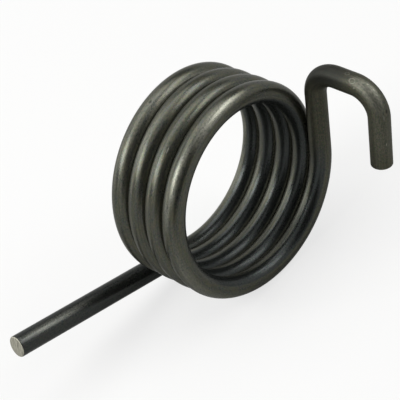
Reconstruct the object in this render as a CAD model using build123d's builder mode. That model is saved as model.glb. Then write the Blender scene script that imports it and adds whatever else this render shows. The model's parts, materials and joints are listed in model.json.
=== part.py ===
from build123d import *
from math import atan2, degrees
import os

# Torsion spring: one length of round spring wire, wound close and right-handed about X.
# A straight leg leaves the back of the coil on a tangent, and a square hook ends the front.
# Millimetres, +Z up. The origin is on the coil's axis, halfway along the winding. The spring
# lies loose on its round coil, with the straight leg pointing to -Y and the hook opening down.

# Wire
wire_diameter = 5.0
end_round = 0.3  # the rim of each cut end, taken off so that it doesn't snag

# Coil
inside_diameter = 39.5  # goes over the arbor
turn_gap = 0.2  # air between the turns, so that they don't rub as the spring winds up
whole_turns = 4
free_angle = 84.0  # between the two legs of the unloaded spring, seen along the axis

# Straight leg
leg_length = 52.0  # from its tangent point on the coil to its cut end

# Hook: a riser on a tangent to the coil, a bridge along the axis and a nose that turns back
hook_rise = 20.75  # from the tangent point to the centreline of the bridge
hook_opening = 12.75  # clear width between the riser and the nose
hook_drop = 18.5  # from the centreline of the bridge to the nose's cut end
bend_inner_radius = 3.75  # of the forming pin that both bends are made round

# Run-outs: a wound wire doesn't turn straight in one point, its curvature fades over a stretch
run_out_angle = 8.0  # of the winding, at each of its ends
leg_run_out = 12.0  # of the straight leg
hook_run_out = 8.0  # of the hook's riser
straight_pull = 0.92  # how far along its stretch each tangent pulls the eased curve
wound_pull = 0.7

wire_radius = wire_diameter / 2
mean_radius = inside_diameter / 2 + wire_radius
pitch = wire_diameter + turn_gap
turns = whole_turns + (180 - free_angle) / 360
coil_travel = turns * pitch
bend_radius = bend_inner_radius + wire_radius
hook_spacing = hook_opening + wire_diameter

# The wire is drawn with its straight leg level and then rocked to where it rests.
# The ideal winding runs from one tangent point to the other. The leg's is at the bottom.
winding = Helix(
    pitch=pitch,
    height=coil_travel,
    radius=mean_radius,
    center=(-coil_travel / 2, 0, 0),
    direction=(1, 0, 0),
).rotate(Axis.X, 180)

# The part of it that keeps its full curvature
eased_share = run_out_angle / 360 / turns
coil = winding.trim(eased_share, 1 - eased_share)
eased_arc = winding.length * eased_share

leg_heading = winding % 0
leg_end = winding @ 0 - leg_heading * leg_length
leg_root = winding @ 0 - leg_heading * leg_run_out

riser_heading = winding % 1
riser_root = winding @ 1 + riser_heading * hook_run_out
riser_length = hook_rise - hook_run_out

# The hook lies flat in the plane of its riser and the coil's axis
bridge_heading = (Vector(1, 0, 0) - riser_heading * riser_heading.X).normalized()
hook_plane = Plane(
    origin=riser_root,
    x_dir=bridge_heading,
    z_dir=bridge_heading.cross(riser_heading),
)


def run_out(root, root_heading, stretch, wound_end, wound_heading):
    """Ease straight wire into the winding. Both headings point towards the coil."""
    return Bezier(
        root,
        root + root_heading * (straight_pull * stretch),
        wound_end - wound_heading * (wound_pull * eased_arc),
        wound_end,
    )


with BuildPart() as spring_wire:
    with BuildLine() as centreline:
        Line(leg_end, leg_root)
        run_out(leg_root, leg_heading, leg_run_out, coil @ 0, coil % 0)
        add(coil)
        run_out(riser_root, -riser_heading, hook_run_out, coil @ 1, -(coil % 1))
        with BuildLine(hook_plane):
            FilletPolyline(
                (0, 0),
                (0, riser_length),
                (hook_spacing, riser_length),
                (hook_spacing, riser_length - hook_drop),
                radius=bend_radius,
            )

    # A round coil rocks back until the spring's weight hangs under its axis. The leg lifts.
    weight = centreline.line.center(CenterOf.MASS)
    leg_lift = degrees(atan2(weight.Y, -weight.Z))
    wire_path = centreline.wires()[0].rotate(Axis.X, -leg_lift)

    with BuildSketch(Plane(origin=wire_path @ 0, z_dir=wire_path % 0)):
        Circle(wire_radius)
    sweep(path=wire_path)

    cut_faces = spring_wire.faces().filter_by(GeomType.PLANE)
    fillet(cut_faces.edges(), radius=end_round)

spring_wire.part.label = "spring_wire"
print(f"developed length of the wire: {wire_path.length:.1f} mm, leg lifted {leg_lift:.2f} degrees")

os.makedirs("parts", exist_ok=True)
export_step(spring_wire.part, "parts/spring_wire.step")
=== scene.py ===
import json
import logging
import math
from collections.abc import Iterator
from dataclasses import dataclass, field
from enum import Enum
from typing import Any, ClassVar

import bmesh
import bpy
from mathutils import Matrix, Vector
from mathutils.kdtree import KDTree

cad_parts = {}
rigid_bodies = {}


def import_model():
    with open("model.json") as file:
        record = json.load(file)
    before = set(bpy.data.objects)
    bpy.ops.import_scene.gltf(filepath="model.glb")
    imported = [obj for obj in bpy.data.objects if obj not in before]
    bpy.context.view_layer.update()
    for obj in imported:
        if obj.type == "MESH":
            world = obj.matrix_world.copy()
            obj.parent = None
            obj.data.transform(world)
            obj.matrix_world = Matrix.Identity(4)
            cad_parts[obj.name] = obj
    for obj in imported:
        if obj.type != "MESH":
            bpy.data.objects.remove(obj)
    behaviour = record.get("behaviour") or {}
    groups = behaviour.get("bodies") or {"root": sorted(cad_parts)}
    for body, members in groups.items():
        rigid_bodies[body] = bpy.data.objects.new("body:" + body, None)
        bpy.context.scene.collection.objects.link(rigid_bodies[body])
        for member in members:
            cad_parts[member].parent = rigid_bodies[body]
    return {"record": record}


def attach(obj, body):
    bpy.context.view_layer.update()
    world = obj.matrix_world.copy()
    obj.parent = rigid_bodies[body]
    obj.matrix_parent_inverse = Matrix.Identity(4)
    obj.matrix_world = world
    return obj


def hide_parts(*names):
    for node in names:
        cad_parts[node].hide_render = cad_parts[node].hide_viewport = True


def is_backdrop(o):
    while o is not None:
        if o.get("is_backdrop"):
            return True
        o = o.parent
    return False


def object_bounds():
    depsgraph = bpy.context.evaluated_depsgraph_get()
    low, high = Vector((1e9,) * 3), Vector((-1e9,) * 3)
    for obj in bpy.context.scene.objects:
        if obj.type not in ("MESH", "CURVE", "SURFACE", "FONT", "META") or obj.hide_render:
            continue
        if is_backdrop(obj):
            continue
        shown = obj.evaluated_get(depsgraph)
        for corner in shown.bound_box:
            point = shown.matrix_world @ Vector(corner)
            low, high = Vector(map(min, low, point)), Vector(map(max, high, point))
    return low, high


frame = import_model()
cad_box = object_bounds()

log = logging.getLogger("torsion_spring")

# A close-wound torsion spring of dark wire, loose on white paper. Metres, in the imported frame.
MM = 0.001
ALONG_COIL = Vector((1.0, 0.0, 0.0))
WHITE = (1.0, 1.0, 1.0, 1.0)
NOISE_LOW, NOISE_HIGH = 0.3, 0.7  # nearly all of a noise's values lie between these

Socket = bpy.types.NodeSocket
Tree = bpy.types.NodeTree


# ---------------- Colours and nodes ----------------


def linear(hex_colour: str) -> tuple[float, float, float, float]:
    """Turn an sRGB hex colour into the linear one that shaders take.

    Args:
        hex_colour: the colour as "#rrggbb".

    Returns:
        Red, green and blue, linear, and an alpha of 1.
    """

    def channel(text: str) -> float:
        value = int(text, 16) / 255.0
        return value / 12.92 if value <= 0.04045 else ((value + 0.055) / 1.055) ** 2.4

    red, green, blue = (channel(hex_colour[k : k + 2]) for k in (1, 3, 5))
    return red, green, blue, 1.0


def add_node(
    tree: Tree,
    kind: str,
    inputs: dict[Any, Any] | None = None,
    **settings: Any,
) -> bpy.types.Node:
    """Add a node, set its properties, and fill its inputs.

    Args:
        tree: the node tree that takes the node.
        kind: the node's type, such as "ShaderNodeTexNoise".
        inputs: for each input's name or number, a value or the socket that feeds it.
        settings: the node's own properties.

    Returns:
        The new node.
    """
    node = tree.nodes.new(kind)
    for name, value in settings.items():
        setattr(node, name, value)
    for key, value in (inputs or {}).items():
        if isinstance(value, Socket):
            tree.links.new(value, node.inputs[key])
        else:
            node.inputs[key].default_value = value
    return node


def new_tree(owner: bpy.types.Material | bpy.types.World) -> Tree:
    """Give a material or a world an empty node tree.

    Args:
        owner: the material or world.

    Returns:
        Its tree.
    """
    owner.use_nodes = True
    owner.node_tree.nodes.clear()
    return owner.node_tree


# ---------------- The wire's route ----------------


def mount(name: str) -> dict[str, Any]:
    """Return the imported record's mount of that name."""
    return next(m for m in frame["record"]["mounts"] if m["name"] == name)


@dataclass(frozen=True)
class SpringSizes:
    """The spring's sizes in metres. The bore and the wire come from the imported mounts."""

    inside_radius: float = mount("coil_inside")["dims"]["r_mm"] * MM
    wire_radius: float = mount("straight_leg")["dims"]["r_mm"] * MM
    turn_gap: float = 0.2 * MM
    whole_turns: int = 4
    free_angle: float = math.radians(84.0)
    leg_length: float = 52.0 * MM
    hook_rise: float = 20.75 * MM
    hook_opening: float = 12.75 * MM
    hook_drop: float = 18.5 * MM
    bend_inner_radius: float = 3.75 * MM
    end_round: float = 0.3 * MM

    @property
    def mean_radius(self) -> float:
        """Radius of the winding's centreline."""
        return self.inside_radius + self.wire_radius

    @property
    def winding_angle(self) -> float:
        """Angle that the wire winds through between its two tangent points."""
        return math.tau * self.whole_turns + math.pi - self.free_angle

    @property
    def coil_travel(self) -> float:
        """How far the centreline moves along the axis over the winding."""
        return (2 * self.wire_radius + self.turn_gap) * self.winding_angle / math.tau

    @property
    def bend_radius(self) -> float:
        """Radius of the centreline in the hook's two bends."""
        return self.bend_inner_radius + self.wire_radius

    @property
    def bridge_length(self) -> float:
        """The straight stretch between the hook's bends."""
        return self.hook_opening + 2 * self.wire_radius - 2 * self.bend_radius


@dataclass(frozen=True)
class Stretch:
    """One stretch of wire, drawn by carrying its first section along one screw motion.

    A section is a matrix whose X axis points out of the coil, whose Y axis points along the
    coil and whose Z axis is the wire's heading. A straight stretch only shifts it, a bend only
    turns it, and the winding does both.
    """

    first: Matrix
    length: float
    shift: Vector = field(default_factory=Vector)
    turn: float = 0.0
    axis: Vector = ALONG_COIL
    centre: Vector = field(default_factory=Vector)

    def motion(self, share: float) -> Matrix:
        """Work out how far the first section has moved.

        Args:
            share: how much of the stretch it has moved along, from 0 to 1.

        Returns:
            The matrix that carries it there.
        """
        about = Matrix.Translation(self.centre)
        turned = about @ Matrix.Rotation(self.turn * share, 4, self.axis) @ about.inverted()
        return Matrix.Translation(self.shift * share) @ turned

    def section(self, share: float) -> Matrix:
        """Return the section at that share of the stretch."""
        return self.motion(share) @ self.first

    @property
    def last(self) -> Matrix:
        """The section at the stretch's end."""
        return self.section(1.0)


class WireRoute:
    """The centreline from the leg's cut end to the nose's, as seven stretches of wire."""

    def __init__(self, sizes: SpringSizes) -> None:
        """Work the stretches out, each from the end of the one before.

        Args:
            sizes: the spring's sizes.
        """
        self.sizes = sizes
        self.leg = self._straight(self._leg_start(), sizes.leg_length)
        self.coil = self._wound(self.leg.last)
        self.riser = self._straight(self.coil.last, sizes.hook_rise - sizes.bend_radius)
        self.first_bend = self._bent(self.riser.last)
        self.bridge = self._straight(self.first_bend.last, sizes.bridge_length)
        self.second_bend = self._bent(self.bridge.last)
        self.nose = self._straight(self.second_bend.last, sizes.hook_drop - sizes.bend_radius)

    @property
    def stretches(self) -> tuple[Stretch, ...]:
        """All stretches in order along the wire."""
        return (
            self.leg,
            self.coil,
            self.riser,
            self.first_bend,
            self.bridge,
            self.second_bend,
            self.nose,
        )

    def _leg_start(self) -> Matrix:
        """Return the section at the leg's cut end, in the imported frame.

        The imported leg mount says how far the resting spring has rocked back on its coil.
        """
        sizes = self.sizes
        rise = sizes.coil_travel / sizes.winding_angle
        heading = Vector((rise, sizes.mean_radius, 0.0)).normalized()
        outward = Vector((0.0, 0.0, -1.0))
        tangent_point = Vector((-sizes.coil_travel / 2, 0.0, -sizes.mean_radius))
        level = Matrix((outward, heading.cross(outward), heading)).transposed().to_4x4()
        level.translation = tangent_point - heading * sizes.leg_length
        leg_axis = Vector(mount("straight_leg")["axis"])
        rocked = math.atan2(leg_axis.z, -leg_axis.y)
        return Matrix.Rotation(-rocked, 4, ALONG_COIL) @ level

    @staticmethod
    def _straight(first: Matrix, length: float) -> Stretch:
        """Return a straight stretch that starts at a section."""
        return Stretch(first=first, length=length, shift=first.col[2].to_3d() * length)

    def _wound(self, first: Matrix) -> Stretch:
        """Wind the coil, right-handed about X.

        Args:
            first: the section that it starts at.

        Returns:
            The coil's stretch.
        """
        angle, travel = self.sizes.winding_angle, self.sizes.coil_travel
        return Stretch(
            first=first,
            length=math.hypot(self.sizes.mean_radius * angle, travel),
            shift=ALONG_COIL * travel,
            turn=angle,
        )

    def _bent(self, first: Matrix) -> Stretch:
        """Bend a quarter turn in the hook's plane, towards the front.

        Args:
            first: the section that the bend starts at.

        Returns:
            The bend's stretch.
        """
        heading = first.col[2].to_3d()
        riser_heading = self.riser.last.col[2].to_3d()
        hook_normal = riser_heading.cross(ALONG_COIL).normalized()
        inwards = hook_normal.cross(heading)
        radius = self.sizes.bend_radius
        return Stretch(
            first=first,
            length=radius * math.pi / 2,
            turn=math.pi / 2,
            axis=hook_normal,
            centre=first.translation + inwards * radius,
        )

    def stations(self, gap: float) -> Iterator[tuple[float, Matrix]]:
        """Walk along the wire in even steps.

        Args:
            gap: the longest step, in metres.

        Yields:
            Distance from the leg's cut end, and the section there.
        """
        done = 0.0
        for stretch in self.stretches:
            steps = max(1, math.ceil(stretch.length / gap))
            for step in range(steps):
                share = step / steps
                yield done + share * stretch.length, stretch.section(share)
            done += stretch.length
        yield done, self.nose.last


# ---------------- Finishes ----------------

STRAIGHT_WIRE = "straight"  # each point's place on the wire as it was before winding, in metres


class WireWay(Enum):
    """The ways across and along the wire, each by its axis in the straight coordinates."""

    OUTWARD = "X"  # away from the coil's axis
    SIDEWAYS = "Y"  # along the coil's axis, towards the straight leg
    ALONG = "Z"  # along the wire, from the leg's cut end


@dataclass(frozen=True)
class SoftEdge:
    """A line across or along the wire, about which its skin changes softly.

    Attributes:
        way: the way that the line is crossed.
        middle: where the change is halfway, in metres.
        reach: how far past the middle the change is whole. A negative reach faces back.
    """

    way: WireWay
    middle: float
    reach: float


class WirePlaces:
    """Where on the wire a point of its skin is, as sockets from 0 to 1.

    Attributes:
        place: the straight coordinates, which the three ways are measured in.
        on_leg: the straight leg.
        past_coil: the hook.
        inside: the side that faces into the coil's bore.
        shaded_inside: the half of that side towards the hook, which takes painted shade.
        scuffed_and_sheened_inside: the edge of its other half, which takes rubbing and a painted
            reflection.
        leg_flank, hook_flank: where a turn touches the one before it, and the one after it.
    """

    def __init__(self, tree: Tree, sizes: SpringSizes, route: WireRoute) -> None:
        """Add the nodes.

        Args:
            tree: the material's nodes.
            sizes: the spring's sizes.
            route: the wire's route.
        """
        self.tree = tree
        self.sizes = sizes
        self.place = add_node(
            tree, "ShaderNodeAttribute", attribute_name=STRAIGHT_WIRE
        ).outputs["Vector"]
        self.ways = add_node(tree, "ShaderNodeSeparateXYZ", {"Vector": self.place}).outputs
        coil_start = route.leg.length
        coil_end = coil_start + route.coil.length
        one_turn = route.coil.length * math.tau / sizes.winding_angle
        skin_fade = 7 * MM  # from one skin to the next, about the coil's two tangent points
        # The flanks fade out over this, for both their rubbing and their painted reflection
        flank_fade = 4 * MM  # of the rubbing, where a flank's neighbour ends
        radius = sizes.wire_radius

        self.on_leg = self.zone(SoftEdge(WireWay.ALONG, coil_start, -skin_fade))
        self.past_coil = self.zone(SoftEdge(WireWay.ALONG, coil_end, skin_fade))
        coil = (
            SoftEdge(WireWay.ALONG, coil_start, skin_fade),
            SoftEdge(WireWay.ALONG, coil_end, -skin_fade),
        )
        bore = (*coil, SoftEdge(WireWay.OUTWARD, -0.40 * radius, -0.10 * radius))
        self.inside = self.zone(*bore)
        # The bore's hook half, darker and cooler: painted shade
        self.shaded_inside = self.zone(
            *bore, SoftEdge(WireWay.SIDEWAYS, -0.05 * radius, -0.15 * radius)
        )
        # The edge of the bore's leg half, lighter: rubbing and a painted reflection
        self.scuffed_and_sheened_inside = self.zone(
            *bore, SoftEdge(WireWay.SIDEWAYS, 0.42 * radius, 0.27 * radius)
        )
        # Where turns touch, lighter: rubbing and a painted reflection
        self.leg_flank = self.zone(
            *coil,
            SoftEdge(WireWay.SIDEWAYS, 0.87 * radius, 0.07 * radius),
            SoftEdge(WireWay.ALONG, coil_start + one_turn, flank_fade),
        )
        self.hook_flank = self.zone(
            *coil,
            SoftEdge(WireWay.SIDEWAYS, -0.90 * radius, -0.08 * radius),
            SoftEdge(WireWay.OUTWARD, -0.05 * radius, -0.12 * radius),
            SoftEdge(WireWay.ALONG, coil_end - one_turn, -flank_fade),
        )

    def zone(self, *edges: SoftEdge) -> Socket:
        """Mark out the part of the skin that lies past every one of some edges.

        Args:
            edges: the zone's edges. Each one's change ends at the mask of those before it.

        Returns:
            A socket that is 1 in the zone and 0 outside it.
        """
        mask: float | Socket = 1.0
        for edge in edges:
            mask = add_node(
                self.tree,
                "ShaderNodeMapRange",
                {
                    "Value": self.ways[edge.way.value],
                    "From Min": edge.middle - edge.reach,
                    "From Max": edge.middle + edge.reach,
                    "To Max": mask,
                },
                interpolation_type="SMOOTHSTEP",
            ).outputs["Result"]
        return mask

    def drawn_noise(self, across: float, along: float, detail: float) -> Socket:
        """Add a noise that is drawn out along the wire.

        Args:
            across: the pattern's size across the wire, in metres.
            along: its size along the wire, in metres.
            detail: the noise's octaves.

        Returns:
            The noise, from 0 to 1.
        """
        scaled = add_node(
            self.tree,
            "ShaderNodeMapping",
            {"Vector": self.place, "Scale": (1 / across, 1 / across, 1 / along)},
        )
        return add_node(
            self.tree,
            "ShaderNodeTexNoise",
            {"Vector": scaled.outputs["Vector"], "Scale": 1.0, "Detail": detail},
        ).outputs["Fac"]


@dataclass(frozen=True)
class WearAndLightMark:
    """One mark on the wire's skin, of wear or of painted highlight or shade: a soft oval, or only
    the outline of one.

    Attributes:
        along: millimetres from the leg's cut end to the mark's middle.
        around: degrees round the wire. 0 faces out of the coil, -90 is the side towards the
            hook, 90 the side towards the leg and 180 the bore.
        length: half of its size along the wire, in millimetres.
        width: half of its size across the wire, in millimetres.
        strength: how much of the skin it changes, from 0 to 1.
        outline: keep only the rim, as a round thing pressed on the skin leaves it.
    """

    along: float
    around: float
    length: float
    width: float
    strength: float
    outline: bool = False

    CORE: ClassVar[float] = 0.3  # the share of an oval, from its middle, that is full strength
    RIM: ClassVar[float] = 0.35  # how far an outline fades to each side, as a share of its oval

    def mask(self, tree: Tree, wire: WirePlaces) -> Socket:
        """Add the mark's nodes.

        Args:
            tree: the material's nodes.
            wire: where on the wire the point is.

        Returns:
            A socket that is the mark's strength in its middle and 0 outside it.
        """
        angle, radius = math.radians(self.around), wire.sizes.wire_radius
        scaled = add_node(
            tree,
            "ShaderNodeMapping",
            {
                "Vector": wire.place,
                "Location": (
                    radius * math.cos(angle),
                    radius * math.sin(angle),
                    self.along * MM,
                ),
                "Scale": (self.width * MM, self.width * MM, self.length * MM),
            },
            vector_type="TEXTURE",
        ).outputs["Vector"]
        distance = add_node(
            tree, "ShaderNodeVectorMath", {0: scaled}, operation="LENGTH"
        ).outputs["Value"]
        inner, outer = self.CORE, 1.0
        if self.outline:
            past_rim = add_node(
                tree, "ShaderNodeMath", {0: distance, 1: 1.0}, operation="SUBTRACT"
            ).outputs["Value"]
            distance = add_node(
                tree, "ShaderNodeMath", {0: past_rim}, operation="ABSOLUTE"
            ).outputs["Value"]
            inner, outer = 0.0, self.RIM
        return add_node(
            tree,
            "ShaderNodeMapRange",
            {
                "Value": distance,
                "From Min": inner,
                "From Max": outer,
                "To Min": self.strength,
                "To Max": 0.0,
            },
            interpolation_type="SMOOTHSTEP",
        ).outputs["Result"]


@dataclass(frozen=True)
class OilTemperedSteel:
    """Oil-tempered spring wire: drawn, hardened in oil, and left with its dark oxide skin.

    The skin is satin, and so thin that the steel's own shine comes through most of it. It is a
    cool grey, mottled with olive, and ruled with faint lines by the drawing die. It differs along
    the wire: the leg kept its blackest, smoothest scale, and the hook is duller from its forming.
    Where the coil's turns touch, their flanks are lighter grey, from rubbing and a painted
    reflection. Inside the bore the hook side is darker and cooler, as painted shade, and the edge
    of the leg side is lighter, from rubbing and a painted reflection. Marks of wear lie among
    painted highlights and painted shade.
    """

    name: str = "oil_tempered_steel"
    leg_skin: str = "#303230"
    cool_skin: str = "#42443f"
    olive_skin: str = "#48483c"
    # painted shade: the darker, cooler skin on the bore's hook side
    bore_shade_skin: str = "#323534"
    hook_skin: str = "#3f3f34"
    # lighter grey of rubbing wear, also used for painted highlights and painted reflections
    rubbed_and_sheen_skin: str = "#8d8d82"
    # black scale specks, also used for painted shade that dims highlights
    black_scale_and_shade: str = "#1c1d1b"
    metallic: float = 0.75
    edge_tint: str = "#cccccc"  # oil film and scale hold the shine at grazing angles back
    coil_roughness: float = 0.30
    bore_roughness: float = 0.30
    leg_roughness: float = 0.30
    hook_roughness: float = 0.48
    roughness_spread: float = 0.05  # to each side, from patch to patch
    # the flanks and the bore's edge are grey from rubbing and lightened as painted reflection
    flank_rub_and_sheen: float = 0.50
    bore_rub_and_sheen: float = 0.48
    # the grain also breaks up the painted highlights and reflections
    rub_and_sheen_breaks: float = 0.40  # how far the grain thins and thickens what is rubbed
    line_contrast: float = 0.20
    grain_contrast: float = 0.36
    hook_grain_contrast: float = 0.48
    grain_gain: float = 4.0  # spreads the grain's tones, which stay 1 in their middle
    grain_tint: float = 0.4  # how much of the grain is in colour
    relief_depth: float = 0.02 * MM
    relief: float = 0.25  # the share of that depth that shows
    smooth_relief: float = 0.04  # on the leg and in the bore
    relief_grain: float = 0.4  # the grain's share of the relief. The rest is die lines
    mottle_width: float = 0.8 * MM
    mottle_length: float = 3.0 * MM
    patch_from: float = 0.35  # between these two values of the mottle, the cool grey
    patch_to: float = 0.65  # turns into olive
    die_line_gap: float = 0.40 * MM  # real die lines are finer, and drawn this coarse to show
    die_line_length: float = 25.0 * MM
    grain_width: float = 0.30 * MM  # the oxide's own grain is finer, and drawn coarse to show
    grain_length: float = 0.45 * MM
    # Marks of wear (scuffs, specks, a scratch) mixed with painted highlights: the front turns' long
    # streaks, lighter bands on other turns, the leg's pale stripe and the hook's second bend
    rubbed_and_sheen: tuple[WearAndLightMark, ...] = (
        WearAndLightMark(550, -45, 12, 1.3, 0.50),
        WearAndLightMark(563, -27, 9, 1.1, 0.36),
        WearAndLightMark(570, -7, 6, 0.9, 0.30),
        WearAndLightMark(592, -45, 20, 1.6, 0.16),
        WearAndLightMark(588, -124, 11, 0.9, 0.20),
        WearAndLightMark(140, -35, 20, 1.8, 0.12),
        WearAndLightMark(128, -60, 17, 0.6, 0.34),
        WearAndLightMark(133, 8, 8, 1.0, 0.14),
        WearAndLightMark(277, 10, 9, 1.1, 0.20),
        WearAndLightMark(90, 168, 6, 0.9, 0.20),
        WearAndLightMark(11, -152, 14, 1.2, 0.16),
        WearAndLightMark(683, 120, 5.5, 2.2, 0.32),
        WearAndLightMark(682, 98, 2.6, 0.4, 0.30),
        WearAndLightMark(681.4, 99, 0.3, 0.18, 0.5),
        WearAndLightMark(682.6, 96, 0.4, 0.16, 0.55),
        WearAndLightMark(683.6, 100, 0.25, 0.2, 0.5),
        WearAndLightMark(684.9, 104, 0.3, 0.16, 0.45),
        WearAndLightMark(682.9, 149, 0.3, 0.3, 0.25),
        WearAndLightMark(679.9, 156, 0.25, 0.3, 0.25),
        WearAndLightMark(691, 120, 10, 4.0, 0.07),
        WearAndLightMark(679, 129, 0.55, 0.55, 0.38, outline=True),
        WearAndLightMark(677, 101, 0.5, 0.4, 0.35, outline=True),
        WearAndLightMark(672.2, 87, 0.2, 0.5, 0.40),
        WearAndLightMark(694, 111, 0.5, 0.15, 0.6),
        WearAndLightMark(687.3, 116, 0.8, 0.3, 0.35),
        WearAndLightMark(419.9, -29, 0.9, 0.18, 0.6),
        WearAndLightMark(274, 30, 0.4, 0.3, 0.5),
    )
    # Dark scale specks mixed with painted shade, which dims highlights on the front turns, near the
    # coil's end and on the hook
    blackened_and_shaded: tuple[WearAndLightMark, ...] = (
        WearAndLightMark(672, 135, 9, 4.6, 0.82),
        WearAndLightMark(686.6, 92, 0.5, 0.4, 0.8),
        WearAndLightMark(561, 3, 6, 0.8, 0.35),
        WearAndLightMark(521, -58, 6, 1.1, 0.40),
        WearAndLightMark(627, 166, 9, 1.1, 0.45),
        WearAndLightMark(132.5, -13, 0.6, 0.4, 0.8),
    )

    def material(self, sizes: SpringSizes, route: WireRoute) -> bpy.types.Material:
        """Build the material.

        Args:
            sizes: the spring's sizes.
            route: the wire's route, for where its coil starts and ends.

        Returns:
            The material, which reads the wire's own straight coordinates.
        """
        made = bpy.data.materials.new(self.name)
        tree = new_tree(made)
        wire = WirePlaces(tree, sizes, route)
        mottle = wire.drawn_noise(self.mottle_width, self.mottle_length, detail=3.0)
        lines = wire.drawn_noise(self.die_line_gap, self.die_line_length, detail=4.0)
        grain = wire.drawn_noise(self.grain_width, self.grain_length, detail=2.0)

        colour = self._skin(tree, wire, mottle, lines, grain)
        # Lighten with wear and painted highlights, then darken with dark scale and painted shade
        for mask, wear_and_light in (
            (self._rubbed_and_sheen(tree, wire, grain), self.rubbed_and_sheen_skin),
            (self._marks(tree, wire, self.blackened_and_shaded), self.black_scale_and_shade),
        ):
            colour = add_node(
                tree,
                "ShaderNodeMix",
                {"Factor": mask, "A": colour, "B": linear(wear_and_light)},
                data_type="RGBA",
            ).outputs["Result"]
        shader = add_node(
            tree,
            "ShaderNodeBsdfPrincipled",
            {
                "Base Color": colour,
                "Metallic": self.metallic,
                "Roughness": self._roughness(tree, wire, mottle, grain),
                "Specular Tint": linear(self.edge_tint),
                "Normal": self._relief(tree, wire, lines, grain),
            },
        )
        add_node(tree, "ShaderNodeOutputMaterial", {"Surface": shader.outputs["BSDF"]})
        return made

    def _skin(
        self, tree: Tree, wire: WirePlaces, mottle: Socket, lines: Socket, grain: Socket
    ) -> Socket:
        """Colour the oxide: two greys in patches, each stretch's own skin, lines and grain.

        Args:
            tree: the material's nodes.
            wire: where on the wire the point is.
            mottle: the patches.
            lines: the drawing die's lines.
            grain: the grain.

        Returns:
            The colour.
        """
        patches = add_node(
            tree,
            "ShaderNodeMapRange",
            {"Value": mottle, "From Min": self.patch_from, "From Max": self.patch_to},
        ).outputs["Result"]
        colour: tuple[float, ...] | Socket = linear(self.cool_skin)
        # The bore's hook side takes a darker, cooler skin: painted shade
        for mask, skin in (
            (patches, self.olive_skin),
            (wire.on_leg, self.leg_skin),
            (wire.past_coil, self.hook_skin),
            (wire.shaded_inside, self.bore_shade_skin),
        ):
            colour = add_node(
                tree,
                "ShaderNodeMix",
                {"Factor": mask, "A": colour, "B": linear(skin)},
                data_type="RGBA",
            ).outputs["Result"]
        ruled = add_node(
            tree,
            "ShaderNodeMapRange",
            {
                "Value": lines,
                "From Min": NOISE_LOW,
                "From Max": NOISE_HIGH,
                "To Min": 1 - self.line_contrast,
                "To Max": 1 + self.line_contrast,
            },
        ).outputs["Result"]
        toned = add_node(
            tree, "ShaderNodeVectorMath", {0: colour, "Scale": ruled}, operation="SCALE"
        ).outputs["Vector"]
        tinted = add_node(
            tree,
            "ShaderNodeMix",
            {"Factor": self.grain_tint, "A": grain, "B": grain.node.outputs["Color"]},
            data_type="RGBA",
        ).outputs["Result"]
        gain, shift = self.grain_gain, 1 - self.grain_gain / 2
        speckles = add_node(
            tree,
            "ShaderNodeVectorMath",
            {0: tinted, 1: (gain, gain, gain), 2: (shift, shift, shift)},
            operation="MULTIPLY_ADD",
        ).outputs["Vector"]
        contrast = add_node(
            tree,
            "ShaderNodeMix",
            {"Factor": wire.past_coil, "A": self.grain_contrast, "B": self.hook_grain_contrast},
        ).outputs["Result"]
        return add_node(
            tree,
            "ShaderNodeMix",
            {"Factor": contrast, "A": toned, "B": speckles},
            data_type="RGBA",
            blend_type="MULTIPLY",
        ).outputs["Result"]

    def _marks(self, tree: Tree, wire: WirePlaces, marks: tuple[WearAndLightMark, ...]) -> Socket:
        """Lay marks over each other.

        Args:
            tree: the material's nodes.
            wire: where on the wire the point is.
            marks: the marks.

        Returns:
            Their common mask.
        """
        mask: float | Socket = 0.0
        for mark in marks:
            mask = add_node(
                tree, "ShaderNodeMath", {0: mask, 1: mark.mask(tree, wire)}, operation="MAXIMUM"
            ).outputs["Value"]
        return mask

    def _rubbed_and_sheen(self, tree: Tree, wire: WirePlaces, grain: Socket) -> Socket:
        """Find where the skin turns lighter grey: its marks of wear and painted highlight, the
        flanks and one side of the bore, which take rubbing and a painted reflection.

        Args:
            tree: the material's nodes.
            wire: where on the wire the point is.
            grain: the grain, which breaks these places up.

        Returns:
            The mask, from 0 to 1.
        """
        mask = self._marks(tree, wire, self.rubbed_and_sheen)
        for zone, rub in (
            (wire.leg_flank, self.flank_rub_and_sheen),
            (wire.hook_flank, self.flank_rub_and_sheen),
            (wire.scuffed_and_sheened_inside, self.bore_rub_and_sheen),
        ):
            wear_and_light = add_node(
                tree, "ShaderNodeMath", {0: zone, 1: rub}, operation="MULTIPLY"
            ).outputs["Value"]
            mask = add_node(
                tree, "ShaderNodeMath", {0: mask, 1: wear_and_light}, operation="MAXIMUM"
            ).outputs["Value"]
        broken = add_node(
            tree,
            "ShaderNodeMapRange",
            {
                "Value": grain,
                "From Min": NOISE_LOW,
                "From Max": NOISE_HIGH,
                "To Min": 1 - self.rub_and_sheen_breaks,
                "To Max": 1 + self.rub_and_sheen_breaks,
            },
        ).outputs["Result"]
        return add_node(
            tree, "ShaderNodeMath", {0: mask, 1: broken}, operation="MULTIPLY"
        ).outputs["Value"]

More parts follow.
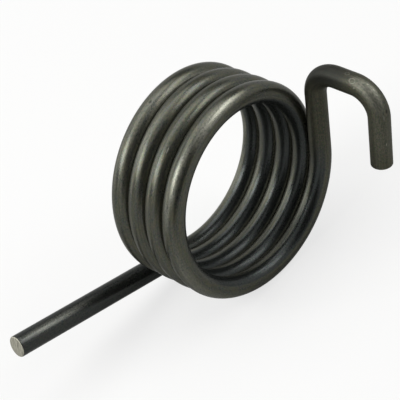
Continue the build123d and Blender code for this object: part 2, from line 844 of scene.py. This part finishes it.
    def _roughness(
        self, tree: Tree, wire: WirePlaces, mottle: Socket, grain: Socket
    ) -> Socket:
        """Work out the roughness along the wire, uneven from patch to patch.

        Args:
            tree: the material's nodes.
            wire: where on the wire the point is.
            mottle: the patches.
            grain: the grain.

        Returns:
            The roughness.
        """
        rough: float | Socket = self.coil_roughness
        for mask, other in (
            (wire.inside, self.bore_roughness),
            (wire.on_leg, self.leg_roughness),
            (wire.past_coil, self.hook_roughness),
        ):
            rough = add_node(
                tree, "ShaderNodeMix", {"Factor": mask, "A": rough, "B": other}
            ).outputs["Result"]
        both = add_node(
            tree, "ShaderNodeMath", {0: mottle, 1: grain}, operation="ADD"
        ).outputs["Value"]
        uneven = add_node(
            tree,
            "ShaderNodeMapRange",
            {
                "Value": both,
                "From Min": 2 * NOISE_LOW,
                "From Max": 2 * NOISE_HIGH,
                "To Min": -self.roughness_spread,
                "To Max": self.roughness_spread,
            },
        ).outputs["Result"]
        return add_node(
            tree, "ShaderNodeMath", {0: rough, 1: uneven}, operation="ADD"
        ).outputs["Value"]

    def _relief(self, tree: Tree, wire: WirePlaces, lines: Socket, grain: Socket) -> Socket:
        """Raise the die lines and the grain a little, and less where the skin is smooth.

        Args:
            tree: the material's nodes.
            wire: where on the wire the point is.
            lines: the drawing die's lines.
            grain: the grain.

        Returns:
            The normal.
        """
        height = add_node(
            tree, "ShaderNodeMix", {"Factor": self.relief_grain, "A": lines, "B": grain}
        ).outputs["Result"]
        smooth = add_node(
            tree, "ShaderNodeMath", {0: wire.inside, 1: wire.on_leg}, operation="MAXIMUM"
        ).outputs["Value"]
        strength = add_node(
            tree, "ShaderNodeMix", {"Factor": smooth, "A": self.relief, "B": self.smooth_relief}
        ).outputs["Result"]
        return add_node(
            tree,
            "ShaderNodeBump",
            {"Strength": strength, "Distance": self.relief_depth, "Height": height},
        ).outputs["Normal"]


@dataclass(frozen=True)
class ShearedSteel:
    """The same wire where it was cropped: bare steel, torn fine and dull by the blades."""

    name: str = "sheared_steel"
    bright: str = "#b0ae9f"
    dull: str = "#65635a"
    metallic: float = 0.9
    roughness: float = 0.5
    tear_gap: float = 0.35 * MM  # real tears are finer, and drawn this coarse to show
    tear_length: float = 2.5 * MM
    tear_from: float = 0.28  # between these two values of the noise, the dull steel
    tear_to: float = 0.72  # turns into bright
    relief: float = 0.5
    relief_depth: float = 0.03 * MM

    def material(self) -> bpy.types.Material:
        """Build the material.

        Returns:
            The material, ruled one way by the shear blades.
        """
        made = bpy.data.materials.new(self.name)
        tree = new_tree(made)
        place = add_node(
            tree, "ShaderNodeAttribute", attribute_name=STRAIGHT_WIRE
        ).outputs["Vector"]
        scaled = add_node(
            tree,
            "ShaderNodeMapping",
            {
                "Vector": place,
                "Scale": (1 / self.tear_length, 1 / self.tear_gap, 1 / self.tear_gap),
            },
        )
        tears = add_node(
            tree,
            "ShaderNodeTexNoise",
            {"Vector": scaled.outputs["Vector"], "Scale": 1.0, "Detail": 4.0},
        ).outputs["Fac"]
        torn = add_node(
            tree,
            "ShaderNodeMapRange",
            {"Value": tears, "From Min": self.tear_from, "From Max": self.tear_to},
        ).outputs["Result"]
        colour = add_node(
            tree,
            "ShaderNodeMix",
            {"Factor": torn, "A": linear(self.dull), "B": linear(self.bright)},
            data_type="RGBA",
        ).outputs["Result"]
        bump = add_node(
            tree,
            "ShaderNodeBump",
            {"Strength": self.relief, "Distance": self.relief_depth, "Height": tears},
        ).outputs["Normal"]
        shader = add_node(
            tree,
            "ShaderNodeBsdfPrincipled",
            {
                "Base Color": colour,
                "Metallic": self.metallic,
                "Roughness": self.roughness,
                "Normal": bump,
            },
        )
        add_node(tree, "ShaderNodeOutputMaterial", {"Surface": shader.outputs["BSDF"]})
        return made


@dataclass(frozen=True)
class StudioPaper:
    """White background paper: matt, and lifted to white for what looks straight at it.

    Further out the paper is plain white in reflections too. Near the spring it keeps its own
    light and shade, and only the camera sees it lifted.
    """

    name: str = "studio_paper"
    paper: str = "#dcdcda"
    near_lift: float = 0.72  # towards white, for the camera alone
    shadow_reach: float = 0.10  # how far from the spring the paper starts to whiten
    white_from: float = 0.32  # where it is all white

    def material(self) -> bpy.types.Material:
        """Build the material.

        Returns:
            A matt white that is part glow for the camera, glossy and transmission rays.
        """
        made = bpy.data.materials.new(self.name)
        tree = new_tree(made)
        paper = add_node(
            tree, "ShaderNodeBsdfDiffuse", {"Color": linear(self.paper)}
        ).outputs["BSDF"]
        glow = add_node(
            tree, "ShaderNodeEmission", {"Color": WHITE, "Strength": 1.0}
        ).outputs["Emission"]
        place = add_node(tree, "ShaderNodeTexCoord").outputs["Object"]
        out = add_node(
            tree, "ShaderNodeVectorMath", {0: place}, operation="LENGTH"
        ).outputs["Value"]
        far = add_node(
            tree,
            "ShaderNodeMapRange",
            {"Value": out, "From Min": self.shadow_reach, "From Max": self.white_from},
            interpolation_type="SMOOTHSTEP",
        ).outputs["Result"]
        seen_far = add_node(
            tree, "ShaderNodeMath", {0: far, 1: seen_directly(tree)}, operation="MULTIPLY"
        ).outputs["Value"]
        near = add_node(
            tree,
            "ShaderNodeMath",
            {
                0: add_node(tree, "ShaderNodeLightPath").outputs["Is Camera Ray"],
                1: self.near_lift,
            },
            operation="MULTIPLY",
        ).outputs["Value"]
        lift = add_node(
            tree, "ShaderNodeMath", {0: seen_far, 1: near}, operation="MAXIMUM"
        ).outputs["Value"]
        surface = add_node(
            tree, "ShaderNodeMixShader", {"Fac": lift, 1: paper, 2: glow}
        ).outputs["Shader"]
        add_node(tree, "ShaderNodeOutputMaterial", {"Surface": surface})
        return made


def seen_directly(tree: Tree) -> Socket:
    """Tell the rays that look at a thing from those that it lights.

    Args:
        tree: the node tree that asks.

    Returns:
        A socket that is 1 for camera, glossy and transmission rays, and 0 for others.
    """
    path = add_node(tree, "ShaderNodeLightPath").outputs
    seen = path["Is Camera Ray"]
    for ray in ("Is Glossy Ray", "Is Transmission Ray"):
        seen = add_node(
            tree, "ShaderNodeMath", {0: seen, 1: path[ray]}, operation="MAXIMUM"
        ).outputs["Value"]
    return seen


# ---------------- The spring ----------------


class WireEnd(Enum):
    """The wire's two cut ends."""

    LEG = "leg"
    NOSE = "nose"


@dataclass
class WoundWire:
    """The spring's one piece: a ring of points drawn out, wound up and bent as the wire was."""

    sizes: SpringSizes
    points_round: int = 64
    rings_a_turn: int = 128
    ring_gap: float = 1.3 * MM
    bend_rings: int = 18
    rim_rings: int = 5
    dishing: tuple[tuple[float, float], ...] = (
        (0.5 * MM, -0.02 * MM),  # how far in from the rim the cut face sinks, and how deep
        (0.8 * MM, -0.02 * MM),
    )
    bared_rings: int = 5  # out from the cut face, over its dishing and part of its round rim
    ring_slack: float = 1.05  # how far from its middle a ring's points may lie, in radii
    station_gap: float = 0.25 * MM
    smooth_below: float = math.radians(35.0)
    name: str = "wound_wire"

    def __post_init__(self) -> None:
        """Work out the wire's route."""
        self.route = WireRoute(self.sizes)

    def build(self) -> bpy.types.Object:
        """Model the wire and dress it.

        Returns:
            The finished piece, at the origin.
        """
        piece = self._ring(self.route.coil.first)
        self._wind(piece)
        bpy.ops.object.mode_set(mode="EDIT")
        bpy.context.tool_settings.mesh_select_mode = (False, True, False)
        self._draw_out(piece, self.route.leg, backwards=True)
        self._draw_out(piece, self.route.riser)
        self._bend(piece, self.route.first_bend)
        self._draw_out(piece, self.route.bridge)
        self._bend(piece, self.route.second_bend)
        self._draw_out(piece, self.route.nose)
        self._cut(piece, WireEnd.LEG)
        self._cut(piece, WireEnd.NOSE)
        bpy.ops.mesh.select_all(action="SELECT")
        bpy.ops.mesh.normals_make_consistent(inside=False)
        bpy.ops.object.mode_set(mode="OBJECT")
        bpy.ops.object.shade_smooth_by_angle(angle=self.smooth_below)
        self._write_straight_places(piece)
        return piece

    def _ring(self, section: Matrix) -> bpy.types.Object:
        """Add the wire's outline as an open ring of points.

        Args:
            section: where the ring lies.

        Returns:
            The new piece, which holds the ring alone.
        """
        bpy.ops.object.select_all(action="DESELECT")
        bpy.ops.mesh.primitive_circle_add(
            vertices=self.points_round,
            radius=self.sizes.wire_radius,
            location=section.translation,
            rotation=section.to_euler(),
        )
        piece = bpy.context.object
        piece.name = self.name
        piece.data.name = self.name
        bpy.ops.object.transform_apply(location=True, rotation=True, scale=True)
        piece.data.materials.append(OilTemperedSteel().material(self.sizes, self.route))
        piece.data.materials.append(ShearedSteel().material())
        return piece

    def _wind(self, piece: bpy.types.Object) -> None:
        """Wind the ring into the coil with a screw about the coil's axis.

        Args:
            piece: the wire, which is only its ring so far.
        """
        coil = self.route.coil
        screw = piece.modifiers.new("winding", "SCREW")
        screw.axis = "X"
        screw.angle = coil.turn
        screw.screw_offset = coil.shift.x
        screw.steps = round(self.rings_a_turn * coil.turn / math.tau)
        screw.render_steps = screw.steps
        bpy.ops.object.modifier_apply(modifier=screw.name)

    def _select_ring(self, piece: bpy.types.Object, section: Matrix) -> None:
        """Select one open ring, and nothing else.

        Args:
            piece: the wire, in edit mode.
            section: where the ring lies.
        """
        bpy.ops.mesh.select_all(action="DESELECT")
        mesh = bmesh.from_edit_mesh(piece.data)
        reach = self.sizes.wire_radius * self.ring_slack
        for edge in mesh.edges:
            if edge.is_boundary and all(
                (v.co - section.translation).length < reach for v in edge.verts
            ):
                edge.select_set(True)
        bmesh.update_edit_mesh(piece.data)

    def _draw_out(
        self, piece: bpy.types.Object, stretch: Stretch, backwards: bool = False
    ) -> None:
        """Extrude an open ring along a straight stretch.

        Args:
            piece: the wire, in edit mode.
            stretch: the straight stretch.
            backwards: draw it from its end to its start.
        """
        self._select_ring(piece, stretch.last if backwards else stretch.first)
        steps = max(1, round(stretch.length / self.ring_gap))
        step = stretch.shift / steps * (-1.0 if backwards else 1.0)
        for _ in range(steps):
            bpy.ops.mesh.extrude_edges_move(TRANSFORM_OT_translate={"value": step})

    def _bend(self, piece: bpy.types.Object, stretch: Stretch) -> None:
        """Spin an open ring through one bend of the hook. Spin turns against the hand.

        Args:
            piece: the wire, in edit mode.
            stretch: the bend.
        """
        self._select_ring(piece, stretch.first)
        bpy.ops.mesh.spin(
            steps=self.bend_rings,
            dupli=False,
            angle=-stretch.turn,
            center=stretch.centre,
            axis=stretch.axis,
        )

    def _cut(self, piece: bpy.types.Object, end: WireEnd) -> None:
        """Close one end of the wire with a cut face, and round the face's rim.

        Args:
            piece: the wire, in edit mode.
            end: which end.
        """
        section = self.route.leg.first if end is WireEnd.LEG else self.route.nose.last
        self._select_ring(piece, section)
        bpy.ops.mesh.edge_face_add()
        bpy.ops.mesh.bevel(
            offset=self.sizes.end_round, segments=self.rim_rings, profile=0.5, affect="EDGES"
        )
        bpy.ops.mesh.select_all(action="DESELECT")
        mesh = bmesh.from_edit_mesh(piece.data)
        for face in mesh.faces:
            if len(face.verts) == self.points_round and (
                (face.calc_center_median() - section.translation).length < self.ring_gap
            ):
                face.select_set(True)
        bmesh.update_edit_mesh(piece.data)
        for thickness, depth in self.dishing:
            bpy.ops.mesh.inset(thickness=thickness, depth=depth)
        for _ in range(self.bared_rings):
            bpy.ops.mesh.select_more()
        piece.active_material_index = 1
        bpy.ops.object.material_slot_assign()

    def _write_straight_places(self, piece: bpy.types.Object) -> None:
        """Give each point its place on the wire as it was before winding and bending.

        The place is read off the nearest station of the route, so patterns that the straight
        wire had follow it round the coil and the hook.

        Args:
            piece: the finished wire.
        """
        stations = list(self.route.stations(self.station_gap))
        nearest = KDTree(len(stations))
        for index, (_, section) in enumerate(stations):
            nearest.insert(section.translation, index)
        nearest.balance()
        places: list[float] = []
        for vertex in piece.data.vertices:
            distance, section = stations[nearest.find(vertex.co)[1]]
            local = section.inverted() @ vertex.co
            places.extend((local.x, local.y, distance + local.z))
        straight = piece.data.attributes.new(STRAIGHT_WIRE, "FLOAT_VECTOR", "POINT")
        straight.data.foreach_set("vector", places)


# ---------------- The studio ----------------


def direction(azimuth: float, elevation: float) -> Vector:
    """Return the unit vector towards a place in the studio.

    Args:
        azimuth: degrees from -Y, towards +X.
        elevation: degrees above the floor.

    Returns:
        The direction from the spring.
    """
    turn, lift = math.radians(azimuth), math.radians(elevation)
    return Vector(
        (
            math.sin(turn) * math.cos(lift),
            -math.cos(turn) * math.cos(lift),
            math.sin(lift),
        )
    )


@dataclass(frozen=True)
class SoftBox:
    """A studio softbox: an even, white rectangle that faces the spring."""

    name: str
    azimuth: float
    elevation: float
    width: float
    height: float
    brightness: float
    distance: float = 0.8
    colour: str = "#ffffff"

    def place(self, aim: Vector) -> bpy.types.Object:
        """Add the lamp.

        Args:
            aim: what it faces.

        Returns:
            The lamp's object.
        """
        towards = direction(self.azimuth, self.elevation)
        lamp = bpy.data.lights.new(self.name, "AREA")
        lamp.shape = "RECTANGLE"
        lamp.size, lamp.size_y = self.width, self.height
        lamp.energy = self.brightness * math.pi * self.width * self.height  # watts
        lamp.color = linear(self.colour)[:3]
        holder = bpy.data.objects.new(self.name, lamp)
        holder.location = aim + towards * self.distance
        holder.rotation_euler = towards.to_track_quat("Z", "Y").to_euler()
        holder.visible_camera = False
        bpy.context.scene.collection.objects.link(holder)
        return holder


@dataclass(frozen=True)
class DarkCloth:
    """Photographer's cloth, washed from black to dark grey, and matt."""

    name: str = "dark_cloth"
    cloth: str = "#525252"

    def material(self) -> bpy.types.Material:
        """Build the material."""
        made = bpy.data.materials.new(self.name)
        tree = new_tree(made)
        shader = add_node(tree, "ShaderNodeBsdfDiffuse", {"Color": linear(self.cloth)})
        add_node(tree, "ShaderNodeOutputMaterial", {"Surface": shader.outputs["BSDF"]})
        return made


@dataclass(frozen=True)
class DarkDrape:
    """A dark drape between the white surroundings, for the steel to darken in."""

    name: str
    azimuth: float
    elevation: float
    width: float
    height: float
    distance: float

    def hang(self) -> bpy.types.Object:
        """Hang the drape, facing the spring and out of the camera's own sight.

        Returns:
            The drape's object, which belongs to the stage.
        """
        towards = direction(self.azimuth, self.elevation)
        bpy.ops.object.select_all(action="DESELECT")
        bpy.ops.mesh.primitive_plane_add(
            size=1.0,
            location=towards * self.distance,
            rotation=towards.to_track_quat("Z", "Y").to_euler(),
        )
        drape = bpy.context.object
        drape.name = self.name
        drape.scale = (self.width, self.height, 1.0)
        bpy.ops.object.transform_apply(location=True, rotation=True, scale=True)
        drape.data.materials.append(DarkCloth().material())
        drape.visible_camera = False
        drape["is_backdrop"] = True
        return drape


@dataclass(frozen=True)
class Camera:
    """A close-up camera, held a little askew."""

    azimuth: float = 56.842
    elevation: float = 41.580
    roll: float = -21.729
    distance: float = 0.3354
    lens: float = 132.15  # millimetres, on a sensor 36 mm wide
    aim: Vector = field(default_factory=lambda: Vector((-5.880, -2.794, -6.642)) * MM)

    def place(self) -> bpy.types.Object:
        """Add the camera and make it the scene's.

        Returns:
            The camera's object.
        """
        back = direction(self.azimuth, self.elevation)
        camera = bpy.data.cameras.new("camera")
        camera.lens, camera.sensor_width = self.lens, 36.0
        camera.clip_start, camera.clip_end = 0.01, 20.0
        holder = bpy.data.objects.new("camera", camera)
        holder.location = self.aim + back * self.distance
        level = back.to_track_quat("Z", "Y").to_matrix().to_4x4()
        rolled = level @ Matrix.Rotation(math.radians(self.roll), 4, "Z")
        holder.rotation_euler = rolled.to_euler()
        bpy.context.scene.collection.objects.link(holder)
        bpy.context.scene.camera = holder
        return holder


@dataclass
class Studio:
    """White paper, soft boxes, dark drapes and white surroundings."""

    floor_level: float
    floor_size: float = 6.0
    room_light: float = 0.1
    boxes: tuple[SoftBox, ...] = (
        SoftBox("roof_box", 243.0, 73.0, 1.15, 0.69, 2.3, distance=1.0),
        SoftBox("left_box", 339.0, 44.0, 0.50, 0.38, 7.4),
        SoftBox("side_box", 143.0, 41.0, 0.56, 0.32, 5.0),
        SoftBox("back_panel", 295.0, 19.0, 0.54, 0.56, 1.8),
    )
    drapes: tuple[DarkDrape, ...] = (
        DarkDrape("camera_drape", 64.0, 27.0, 1.3, 1.15, 1.0),
        DarkDrape("left_drape", 328.0, 21.0, 0.38, 0.32, 0.9),
        DarkDrape("far_drape", 204.0, 35.0, 0.60, 0.42, 1.0),
    )

    def build(self) -> None:
        """Lay the floor, hang the lamps and light the room."""
        self._floor()
        self._room()
        for drape in self.drapes:
            drape.hang()
        for box in self.boxes:
            box.place(Vector())
            log.info("lamp %s at azimuth %.0f", box.name, box.azimuth)

    def _floor(self) -> None:
        """Lay a wide sheet of white paper under the spring."""
        bpy.ops.object.select_all(action="DESELECT")
        bpy.ops.mesh.primitive_plane_add(size=self.floor_size)
        floor = bpy.context.object
        floor.name = "paper_floor"
        bpy.ops.object.mode_set(mode="EDIT")
        bpy.ops.transform.translate(value=(0.0, 0.0, self.floor_level))
        bpy.ops.object.mode_set(mode="OBJECT")
        floor.data.materials.append(StudioPaper().material())
        floor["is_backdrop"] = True

    def _room(self) -> None:
        """Make the surroundings white to look at, and a plain soft light otherwise."""
        world = bpy.data.worlds.new("room")
        bpy.context.scene.world = world
        tree = new_tree(world)
        light = add_node(
            tree, "ShaderNodeBackground", {"Color": WHITE, "Strength": self.room_light}
        )
        white = add_node(tree, "ShaderNodeBackground", {"Color": WHITE, "Strength": 1.0})
        mixed = add_node(
            tree,
            "ShaderNodeMixShader",
            {
                "Fac": seen_directly(tree),
                1: light.outputs["Background"],
                2: white.outputs["Background"],
            },
        )
        add_node(tree, "ShaderNodeOutputWorld", {"Surface": mixed.outputs["Shader"]})


def write_sizes() -> None:
    """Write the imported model's box and the dressed model's box for comparison."""
    boxes = {
        name: [list(corner) for corner in box]
        for name, box in (("cad", cad_box), ("visual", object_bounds()))
    }
    log.info("boxes %s", boxes)


def main() -> None:
    """Build the spring and the studio, put the piece on its body, and hide the imported node that
    it stands in for.
    """
    logging.basicConfig(level=logging.INFO, format="%(name)s: %(message)s")
    bpy.context.scene.view_settings.view_transform = "Standard"
    wire = WoundWire(SpringSizes()).build()
    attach(wire, "root")
    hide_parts("spring_wire")
    log.info("%s: %d points, %d faces", wire.name, len(wire.data.vertices), len(wire.data.polygons))
    Studio(floor_level=cad_box[0].z).build()
    Camera().place()
    write_sizes()


if __name__ == "__main__":
    main()
